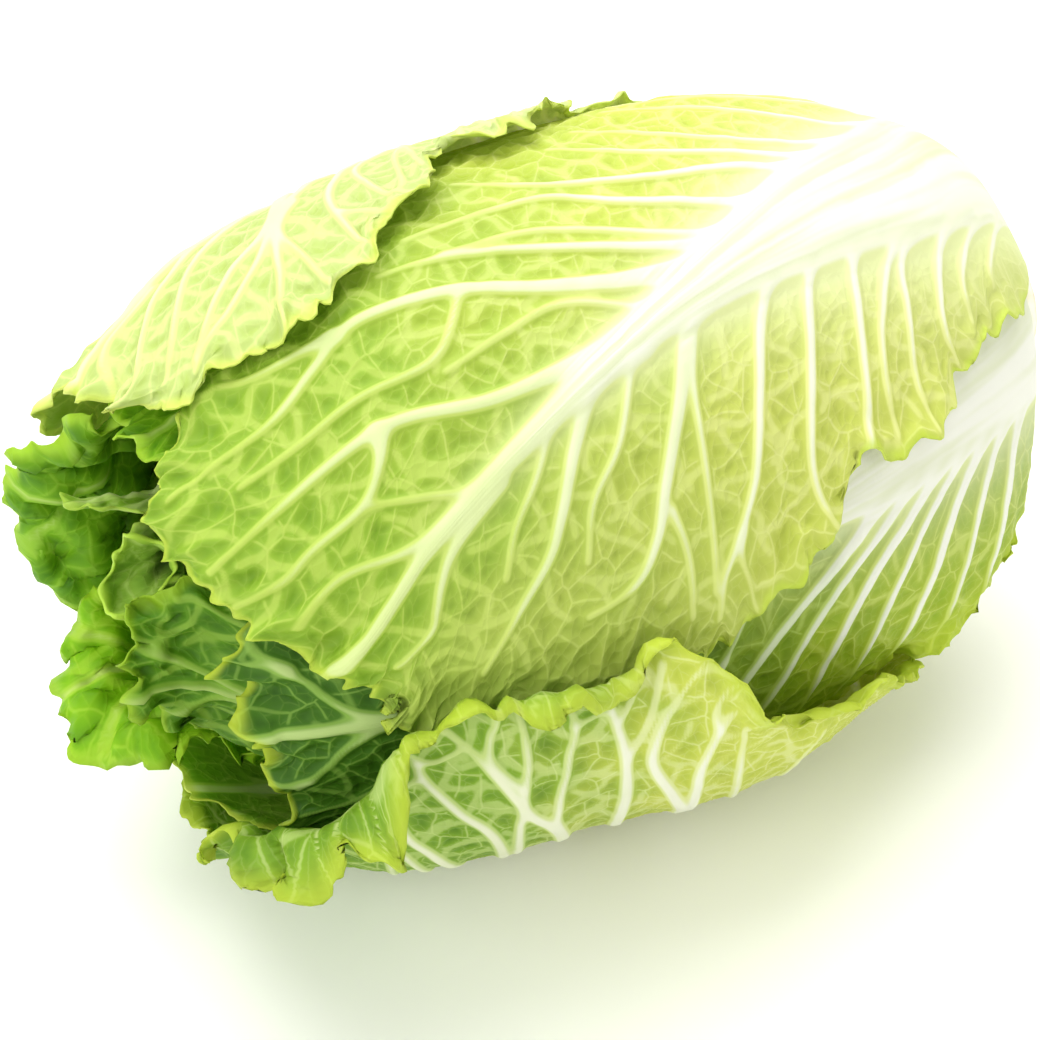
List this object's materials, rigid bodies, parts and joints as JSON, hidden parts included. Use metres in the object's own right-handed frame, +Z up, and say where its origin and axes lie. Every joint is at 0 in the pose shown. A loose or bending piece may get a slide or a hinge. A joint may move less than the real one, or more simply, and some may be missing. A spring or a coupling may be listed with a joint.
{
  "type": "napa cabbage",
  "caption": "Whole napa cabbage head lying on its side: broad white-ribbed, crinkled leaves wrapped round a leafy heart and a cut stem.",
  "frame": {"origin": "middle of the small flat under the lower leaf, on which the head rests", "axes": "+Z up from the resting flat, +X along the head's axis towards the cut stem, so the leafy tip looks to -X"},
  "size_m": [0.2852, 0.1902, 0.1785],
  "materials": {
    "stem_butt": "matte, cut plant stem",
    "lower_leaf": "waxy satin leaf",
    "back_leaf": "waxy satin leaf",
    "front_leaf": "waxy satin leaf",
    "side_leaf": "waxy satin leaf",
    "rear_leaf": "waxy satin leaf",
    "under_leaf": "waxy satin leaf",
    "inner_leaf_top": "waxy satin leaf",
    "inner_leaf_upper": "waxy satin leaf",
    "inner_leaf_fan": "waxy satin leaf",
    "inner_leaf_net": "waxy satin leaf",
    "heart": "waxy satin leaf"
  },
  "bodies": {
    "root": {"stem_butt": "stem_butt", "lower_leaf": "lower_leaf", "back_leaf": "back_leaf", "front_leaf": "front_leaf", "side_leaf": "side_leaf", "rear_leaf": "rear_leaf", "under_leaf": "under_leaf", "inner_leaf_top": "inner_leaf_top", "inner_leaf_upper": "inner_leaf_upper", "inner_leaf_fan": "inner_leaf_fan", "inner_leaf_net": "inner_leaf_net", "heart": "heart"}
  },
  "joints": []
}
